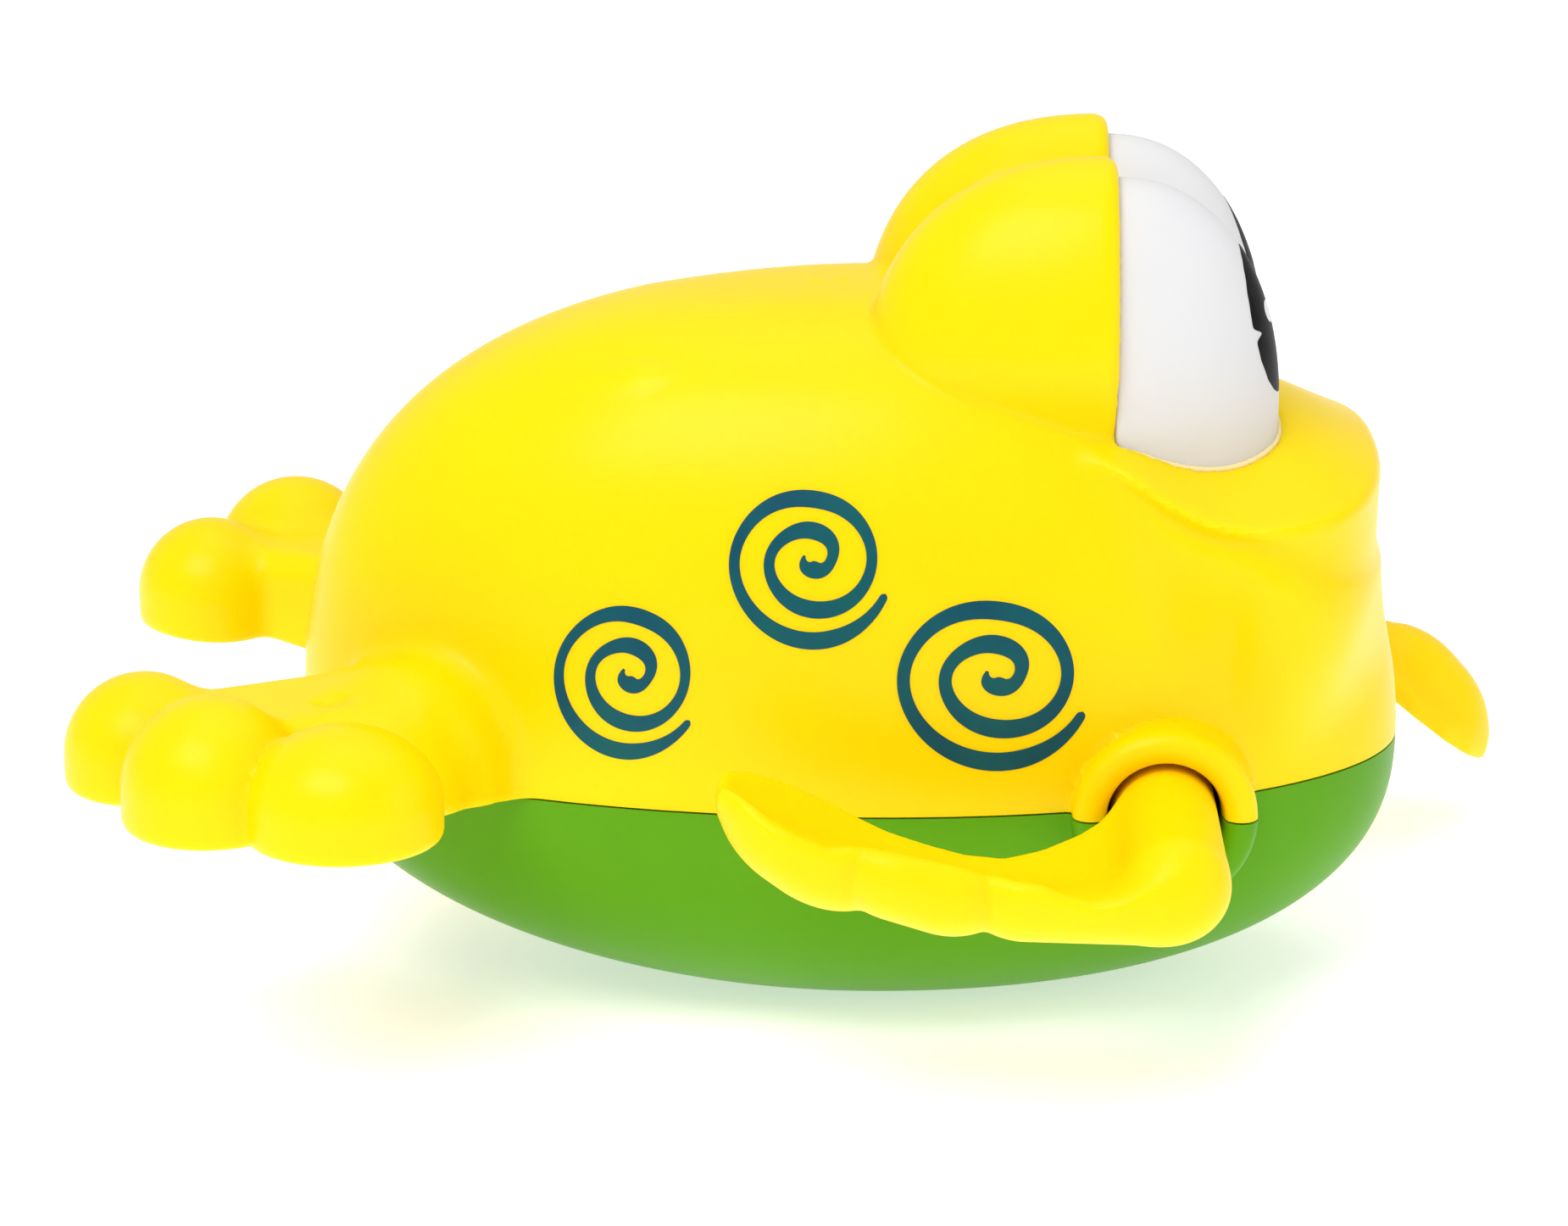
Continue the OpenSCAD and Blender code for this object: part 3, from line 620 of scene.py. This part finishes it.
def land(points, way, field, reach=6.0):
    """Slides points along one direction on to a surface."""
    p = points.copy()
    way = np.asarray(way, float)
    for _ in range(14):
        f = field(*p.T)
        q = p + way * 0.05
        slope = (field(*q.T) - f) / 0.05
        p += way * np.clip(-f / np.where(np.abs(slope) < 0.15, -0.15, slope), -1.5, 1.5)[:, None]
    return p


def outward(points, field, e=0.05):
    """Unit normals of the field at the points."""
    x, y, z = points.T
    nrm = np.stack([field(x + e, y, z) - field(x - e, y, z), field(x, y + e, z) - field(x, y - e, z),
                    field(x, y, z + e) - field(x, y, z - e)], 1)
    return nrm / np.linalg.norm(nrm, axis=1, keepdims=True)


def print_solid(name, flat, faces_flat, boundary, way, field, rise, sink):
    """Thin closed ink layer: flat points landed on the field, lifted, and closed round the boundary."""
    base = land(flat, way, field)
    nrm = outward(base, field)
    n = len(base)
    points = np.concatenate([base + nrm * rise, base - nrm * sink])
    quads = [tuple(q) for q in faces_flat] + [tuple(n + i for i in reversed(q)) for q in faces_flat]
    m = len(boundary)
    for i in range(m):
        here, ahead = boundary[i], boundary[(i + 1) % m]
        quads.append((here, n + here, n + ahead, ahead))
    return finish_mesh(make_object(name, points, quads), 60)


def spiral_strip(centre, scale, tilt):
    """Strip of the spiral in its print plane: across its width, then along it."""
    turn = np.array([-205, -150, -90, 0, 45, 90, 135, 180, 225, 270,
                     315, 360, 405, 450, 495, 540, 585, 630, 675, 695])
    radius = np.array([0.88, 0.9, 0.8, 1.45, 2.1, 2.45, 2.98, 3.85, 3.98, 4.2,
                       4.65, 4.95, 4.97, 5.08, 6.05, 6.85, 6.84, 6.9, 6.75, 6.71])
    t = np.linspace(-205, 695, 620)
    r = np.interp(t, turn, radius)
    kernel = np.hanning(41)
    kernel /= kernel.sum()
    r = np.convolve(np.pad(r, 20, mode="edge"), kernel, mode="valid")
    width = 1.2 - 0.28 * np.cos(np.radians(2 * t))
    width *= 1 - 0.35 * smooth((t - 640) / 60)
    width *= 0.2 + 0.8 * smooth((t + 212) / 70)
    end = np.clip((695 - t) / 4.0, 0, 1)
    width *= np.sqrt(1 - (1 - end) ** 2) * 0.98 + 0.02
    a = np.radians(t)
    mid = np.stack([r * np.cos(a), r * np.sin(a)], 1)
    way = np.gradient(mid, axis=0)
    way /= np.linalg.norm(way, axis=1, keepdims=True)
    side = np.stack([way[:, 1], -way[:, 0]], 1)
    k = 7
    rows = [mid + side * (width * s / 2)[:, None] for s in np.linspace(-1, 1, k)]
    flat = np.stack(rows, 1).reshape(-1, 2) * np.array(scale)
    ca, sa = math.cos(math.radians(tilt)), math.sin(math.radians(tilt))
    flat = flat @ np.array([[ca, sa], [-sa, ca]]) + np.array(centre)
    n = len(t)
    faces = [(i * k + j, i * k + j + 1, (i + 1) * k + j + 1, (i + 1) * k + j)
             for i in range(n - 1) for j in range(k - 1)]
    edge = [i * k for i in range(n)] + [(n - 1) * k + j for j in range(1, k)]
    edge += [i * k + k - 1 for i in range(n - 2, -1, -1)] + list(range(k - 2, 0, -1))
    return flat, faces, edge


# How far the ink stands out of the shell and reaches into it
INK_RISE, INK_SINK = 0.035, 0.12

# Lean of the plane the spirals are printed from; then name, centre, scale and turn of each
PRINT_TILT = math.radians(17.5)
SPIRALS = (("upper", (-8.6, 24.0, 45.3), (1.0, 1.0), 0),
           ("rear", (-24.2, 23.6, 34.8), (0.93, 0.965), -12),
           ("front", (7.2, 25.2, 35.4), (1.2, 1.075), 0))
prints = []
for side, label in ((-1, "right"), (1, "left")):
    up = np.array([0.0, -side * math.sin(PRINT_TILT), math.cos(PRINT_TILT)])
    inward = np.array([0.0, -side * math.cos(PRINT_TILT), -math.sin(PRINT_TILT)])
    for place, centre, scale, tilt in SPIRALS:
        flat, faces, edge = spiral_strip((0, 0), scale, tilt)
        start = np.array([centre[0], side * centre[1], centre[2]])
        points = start + flat[:, :1] * np.array([1.0, 0, 0]) + flat[:, 1:] * up - inward * 1.0
        prints.append(print_solid(f"spiral_{place}_{label}", points, faces, edge, inward,
                                  upper_outer, INK_RISE, INK_SINK))


def disc_rings(outline, count=14):
    """Rings of a star-shaped outline shrunk toward its middle."""
    outline = np.array(outline, float)
    mid = outline.mean(0)
    n = len(outline)
    pts = np.concatenate([mid + (outline - mid) * s for s in np.linspace(1, 0.04, count)])
    faces = [(i * n + j, i * n + (j + 1) % n, (i + 1) * n + (j + 1) % n, (i + 1) * n + j)
             for i in range(count - 1) for j in range(n)]
    return pts, faces, n


def smooth_outline(points, step=0.25, soft=0.35):
    """Closed outline through the points, evenly spaced and slightly rounded."""
    p = np.array(points + points[:1], float)
    length = np.concatenate([[0], np.cumsum(np.linalg.norm(np.diff(p, axis=0), axis=1))])
    n = int(length[-1] / step)
    s = np.linspace(0, length[-1], n, endpoint=False)
    out = np.stack([np.interp(s, length, p[:, i]) for i in (0, 1)], 1)
    kernel = np.exp(-0.5 * (np.arange(-8, 9) * step / soft) ** 2)
    kernel /= kernel.sum()
    return np.stack([np.convolve(np.concatenate([out[-8:, i], out[:, i], out[:8, i]]), kernel, "valid")
                     for i in (0, 1)], 1)


# Outline of a pupil as (distance from the middle, height), with the nick in its outer edge
PUPIL = [(9.3, 69.6), (10.6, 69.0), (11.7, 67.9), (12.8, 66.1), (13.4, 64.3), (13.7, 63.0), (12.7, 62.5),
         (13.7, 61.9), (13.6, 60.2), (12.9, 58.3), (11.9, 57.2), (10.8, 56.7), (9.5, 56.9), (8.2, 57.9),
         (7.2, 59.8), (6.7, 62.2), (6.7, 64.5), (7.0, 66.2), (7.7, 67.8), (8.6, 69.0)]
PRINT_X = 33.5
PUPIL_RISE, GLINT_RISE = 0.03, 0.06
GLINT_AT, GLINT_HALF = (10.25, 63.8), (1.0, 0.95)
pupils = []
for side, label in ((-1, "right"), (1, "left")):
    outline = smooth_outline([(side * q, r) for q, r in PUPIL], 0.2, 0.22)
    flat, faces, n = disc_rings(outline)
    points = np.stack([np.full(len(flat), PRINT_X), flat[:, 0], flat[:, 1]], 1)
    cap = len(points) - n
    inner = [cap + j for j in range(n)]
    pupils.append((f"pupil_{label}", points, faces, n, inner, PUPIL_RISE))
    t = np.linspace(0, 2 * math.pi, 40, endpoint=False)
    oval = np.stack([side * (GLINT_AT[0] + GLINT_HALF[0] * np.cos(t)),
                     GLINT_AT[1] + GLINT_HALF[1] * np.sin(t)], 1)
    flat, faces, n = disc_rings(oval, 6)
    points = np.stack([np.full(len(flat), PRINT_X), flat[:, 0], flat[:, 1]], 1)
    cap = len(points) - n
    pupils.append((f"glint_{label}", points, faces, n, [cap + j for j in range(n)], GLINT_RISE))

ink = []
for name, points, faces, n, inner, rise in pupils:
    base = land(points, (-1.0, 0, 0), whites)
    middle = base[inner].mean(0)
    base = np.concatenate([base, [middle]])
    faces = list(faces) + [(inner[j], inner[(j + 1) % n], len(base) - 1, len(base) - 1) for j in range(n)]
    nrm = outward(base, whites)
    m = len(base)
    both = np.concatenate([base + nrm * rise, base - nrm * 0.1])
    mesh = bpy.data.meshes.new(name)
    polys = [tuple(dict.fromkeys(q)) for q in faces]
    polys += [tuple(m + i for i in reversed(q)) for q in polys]
    polys += [(j, m + j, m + (j + 1) % n, (j + 1) % n) for j in range(n)]
    mesh.from_pydata((both * MM).tolist(), [], polys)
    obj = bpy.data.objects.new(name, mesh)
    SCENE.collection.objects.link(obj)
    ink.append(finish_mesh(obj, 60))

# ------------------------------------------------------------------ materials


class Nodes:
    """A material with its Principled shader and shortcuts for the nodes round it."""

    def __init__(self, name, **values):
        self.mat = bpy.data.materials.new(name)
        self.mat.use_nodes = True
        self.tree = self.mat.node_tree
        self.shader = self.tree.nodes["Principled BSDF"]
        self.coord = self.tree.nodes.new("ShaderNodeTexCoord").outputs["Object"]
        for key, value in values.items():
            self.shader.inputs[key.replace("_", " ")].default_value = value

    def noise(self, scale, detail=3.0, rough=0.5, stretch=None):
        source = self.coord
        if stretch:
            m = self.tree.nodes.new("ShaderNodeMapping")
            m.inputs["Scale"].default_value = stretch
            self.tree.links.new(source, m.inputs["Vector"])
            source = m.outputs["Vector"]
        n = self.tree.nodes.new("ShaderNodeTexNoise")
        n.inputs["Scale"].default_value = scale
        n.inputs["Detail"].default_value = detail
        n.inputs["Roughness"].default_value = rough
        self.tree.links.new(source, n.inputs["Vector"])
        return n.outputs["Fac"]

    def ramp(self, source, *stops):
        r = self.tree.nodes.new("ShaderNodeValToRGB")
        e = r.color_ramp.elements
        while len(e) < len(stops):
            e.new(0.5)
        for item, (at, colour) in zip(e, stops):
            item.position = at
            item.color = (*colour, 1)
        self.tree.links.new(source, r.inputs["Fac"])
        return r.outputs["Color"]

    def span(self, source, low, high, a=0.3, b=0.7):
        m = self.tree.nodes.new("ShaderNodeMapRange")
        for key, value in (("From Min", a), ("From Max", b), ("To Min", low), ("To Max", high)):
            m.inputs[key].default_value = value
        self.tree.links.new(source, m.inputs["Value"])
        return m.outputs["Result"]

    def mix(self, factor, a, b, blend="MIX"):
        m = self.tree.nodes.new("ShaderNodeMix")
        m.data_type = "RGBA"
        m.blend_type = blend
        if isinstance(factor, float):
            m.inputs["Factor"].default_value = factor
        else:
            self.tree.links.new(factor, m.inputs["Factor"])
        for key, value in ((6, a), (7, b)):
            if isinstance(value, tuple):
                m.inputs[key].default_value = (*value, 1)
            else:
                self.tree.links.new(value, m.inputs[key])
        return m.outputs[2]

    def bump(self, source, strength, distance, before=None):
        b = self.tree.nodes.new("ShaderNodeBump")
        b.inputs["Strength"].default_value = strength
        b.inputs["Distance"].default_value = distance
        self.tree.links.new(source, b.inputs["Height"])
        if before is not None:
            self.tree.links.new(before, b.inputs["Normal"])
        return b.outputs["Normal"]

    def link(self, source, name):
        self.tree.links.new(source, self.shader.inputs[name])
        return self


def moulded(name, pale, deep, rough, scatter, radius, grain=0.12, coat=0.0):
    """Moulded plastic: slow colour drift, flow streaks in the gloss, fine grain and faint waviness."""
    m = Nodes(name, Subsurface_Weight=scatter, Subsurface_Radius=radius, Subsurface_Scale=0.001,
              IOR=1.48, Specular_IOR_Level=0.13, Coat_Weight=coat, Coat_Roughness=0.12)
    drift = m.noise(28, 4, 0.55)
    m.link(m.ramp(drift, (0.3, deep), (0.68, pale)), "Base Color")
    streak = m.noise(60, 5, 0.6, (0.35, 1.0, 1.0))
    m.link(m.span(streak, rough - 0.045, rough + 0.06), "Roughness")
    fine = m.bump(m.noise(2600, 2, 0.6), grain, 0.00006)
    m.link(m.bump(m.noise(55, 2, 0.4), 0.10, 0.0005, fine), "Normal")
    return m.mat


# Pale and deep tone, roughness, share and reach (mm, by colour) of the light inside, grain
YELLOW = moulded("shell_yellow_plastic", (1.0, 0.685, 0.0), (1.0, 0.645, 0.0),
                 0.32, 0.35, (4.0, 2.0, 0.3))
ARM_YELLOW = moulded("arm_yellow_plastic", (1.0, 0.69, 0.0), (1.0, 0.65, 0.0),
                     0.38, 0.4, (4.0, 2.2, 0.3), 0.16)
KNOB_YELLOW = moulded("knob_yellow_plastic", (0.96, 0.66, 0.0), (0.94, 0.58, 0.0),
                      0.3, 0.3, (4.0, 2.0, 0.3))
GREEN = moulded("hull_green_plastic", (0.105, 0.345, 0.002), (0.09, 0.31, 0.0015),
                0.36, 0.12, (1.2, 2.4, 0.3), 0.2)
WHITE_EYE = moulded("eye_white_plastic", (0.70, 0.70, 0.71), (0.65, 0.65, 0.66),
                    0.42, 0.15, (1.5, 1.5, 1.5), 0.22)
RIM_PALE = moulded("eye_rim_plastic", (0.98, 0.84, 0.42), (0.96, 0.78, 0.34),
                   0.3, 0.3, (2.0, 2.0, 1.0))


def ink_material():
    """Screen-printed spiral ink: blue through teal, thin enough to let a little yellow drift in."""
    m = Nodes("spiral_ink", Roughness=0.42, IOR=1.48, Specular_IOR_Level=0.15)
    tone = m.noise(140, 3, 0.55)
    blue, middle, teal = (0.002, 0.065, 0.105), (0.003, 0.085, 0.11), (0.004, 0.10, 0.09)
    m.link(m.ramp(tone, (0.3, blue), (0.55, middle), (0.75, teal)), "Base Color")
    m.link(m.bump(m.noise(2400, 2, 0.5), 0.15, 0.00005), "Normal")
    return m.mat


def pupil_material():
    """Black pad-printed ink."""
    m = Nodes("pupil_black", Roughness=0.42, Specular_IOR_Level=0.05)
    deep, pale = (0.006, 0.006, 0.007), (0.018, 0.018, 0.018)
    m.link(m.ramp(m.noise(300, 3, 0.6), (0.35, deep), (0.8, pale)), "Base Color")
    m.link(m.bump(m.noise(1800, 2, 0.5), 0.12, 0.00005), "Normal")
    return m.mat


def glint_material():
    """Light grey pad-printed spot."""
    m = Nodes("glint_print", Roughness=0.35)
    deep, pale = (0.55, 0.56, 0.58), (0.75, 0.76, 0.77)
    m.link(m.ramp(m.noise(500, 3, 0.6), (0.3, deep), (0.7, pale)), "Base Color")
    m.link(m.bump(m.noise(1800, 2, 0.5), 0.12, 0.00005), "Normal")
    return m.mat


def metal(name, base, rough, stretch):
    """Metal with brushing drawn out along one axis."""
    m = Nodes(name, Metallic=1.0)
    brushed = m.noise(900, 4, 0.6, stretch)
    m.link(m.ramp(brushed, (0.3, tuple(0.82 * c for c in base)), (0.7, base)), "Base Color")
    m.link(m.span(brushed, rough - 0.06, rough + 0.1), "Roughness")
    m.link(m.bump(brushed, 0.12, 0.00004), "Normal")
    return m.mat


def matte(name, pale, deep, rough):
    """Plain engineering plastic with fine grain."""
    m = Nodes(name, IOR=1.5)
    m.link(m.ramp(m.noise(60, 4, 0.55), (0.3, deep), (0.7, pale)), "Base Color")
    m.link(m.span(m.noise(180, 4, 0.6), rough - 0.06, rough + 0.08), "Roughness")
    m.link(m.bump(m.noise(1600, 2, 0.6), 0.2, 0.00006), "Normal")
    return m.mat


SPIRAL_INK, PUPIL_BLACK, GLINT = ink_material(), pupil_material(), glint_material()
ZINC = metal("screw_zinc", (0.66, 0.66, 0.64), 0.32, (1, 1, 0.2))
STEEL = metal("axle_steel_ground", (0.62, 0.62, 0.63), 0.24, (1, 0.15, 1))
SPRING = metal("spring_blued", (0.30, 0.33, 0.40), 0.3, (1, 1, 0.2))
CASE = matte("gearcase_blue", (0.045, 0.15, 0.42), (0.035, 0.12, 0.36), 0.42)
GEARS = matte("gear_acetal", (0.82, 0.82, 0.78), (0.74, 0.74, 0.70), 0.4)

SLOT_FINISH = {
    "knob_yellow": KNOB_YELLOW, "screw_steel": ZINC, "axle_steel": STEEL, "spring_steel": SPRING,
    "case_blue": CASE, "gear_white": GEARS, "shell_yellow": YELLOW, "arm_yellow": ARM_YELLOW,
    "hull_green": GREEN, "eye_white": WHITE_EYE,
}
for part in frame["record"]["subparts"]:
    obj = frame["nodes"][part["node"]]
    obj.data.materials.clear()
    obj.data.materials.append(SLOT_FINISH[part["material_slot"]])

# ------------------------------------------------------------------ pieces on their bodies

PIECES = (
    (shell, "casing", YELLOW, "shell_yellow", ("upper_shell",)),
    (hull, "casing", GREEN, "hull_green", ("lower_shell",)),
    (rim, "casing", GREEN, "hull_green", ()),
    (eyes, "casing", WHITE_EYE, "eye_white", ("eye_insert",)),
    (bead, "casing", RIM_PALE, "shell_yellow", ()),
    (arms[0], "paddles", ARM_YELLOW, "arm_yellow", ("right_arm",)),
    (arms[1], "paddles", ARM_YELLOW, "arm_yellow", ("left_arm",)),
)
for obj, carrier, finish, slot_name, nodes in PIECES:
    obj.data.materials.append(finish)
    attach(obj, carrier)
    if nodes:
        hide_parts(*nodes)
for obj in prints:
    obj.data.materials.append(SPIRAL_INK)
    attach(obj, "casing")
for obj in ink:
    obj.data.materials.append(PUPIL_BLACK if obj.name.startswith("pupil") else GLINT)
    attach(obj, "casing")

# ------------------------------------------------------------------ floor, light, camera

floor_mesh = bpy.data.meshes.new("floor")
FLOOR_REACH, FLOOR_Z = 3.0, -0.0002
CORNERS = ((-1, -1), (1, -1), (1, 1), (-1, 1))
floor_mesh.from_pydata([(FLOOR_REACH * i, FLOOR_REACH * j, FLOOR_Z) for i, j in CORNERS], [], [(0, 1, 2, 3)])
floor = bpy.data.objects.new("floor", floor_mesh)
SCENE.collection.objects.link(floor)
pale = Nodes("floor_pale", Roughness=0.8, Specular_IOR_Level=0.2)
pale.link(pale.ramp(pale.noise(3, 2), (0.3, (0.90, 0.90, 0.90)), (0.7, (0.92, 0.92, 0.92))), "Base Color")
pale.shader.inputs["Emission Color"].default_value = (1, 1, 1, 1)
pale.shader.inputs["Emission Strength"].default_value = 0.50
floor_mesh.materials.append(pale.mat)

world = bpy.data.worlds.new("studio")
world.use_nodes = True
world.node_tree.nodes["Background"].inputs["Color"].default_value = (1, 1, 1, 1)
world.node_tree.nodes["Background"].inputs["Strength"].default_value = 0.55
SCENE.world = world
SCENE.view_settings.view_transform = "Standard"


def area(name, at, aim, size, power):
    """Rectangular lamp aimed at a point."""
    data = bpy.data.lights.new(name, "AREA")
    data.shape = "RECTANGLE"
    data.size, data.size_y = size
    data.energy = power
    lamp = bpy.data.objects.new(name, data)
    lamp.location = at
    lamp.rotation_mode = "QUATERNION"
    lamp.rotation_quaternion = (Vector(aim) - Vector(at)).to_track_quat("-Z", "Y")
    SCENE.collection.objects.link(lamp)


MIDDLE = (0, 0, 0.03)
area("key", (-0.25, -0.45, 0.75), MIDDLE, (0.55, 0.45), 4.6)
area("top", (0.05, 0.15, 0.85), MIDDLE, (0.7, 0.6), 1.6)
area("side", (0.7, -0.25, 0.3), MIDDLE, (0.35, 0.45), 0.6)

camera_data = bpy.data.cameras.new("camera")
camera_data.sensor_width = 36.0
camera_data.lens = 114.49
camera_data.clip_start, camera_data.clip_end = 0.01, 20
camera = bpy.data.objects.new("camera", camera_data)
SCENE.collection.objects.link(camera)
AZIMUTH, RISE, AWAY = math.radians(0.836), math.radians(17.5), 0.4507
LOOK_AT = Vector((-0.0115, 0, 0.033))
back = Vector((math.sin(AZIMUTH) * math.cos(RISE), -math.cos(AZIMUTH) * math.cos(RISE), math.sin(RISE)))
camera.location = LOOK_AT + back * AWAY
camera.rotation_mode = "QUATERNION"
camera.rotation_quaternion = (-back).to_track_quat("-Z", "Y")
SCENE.camera = camera
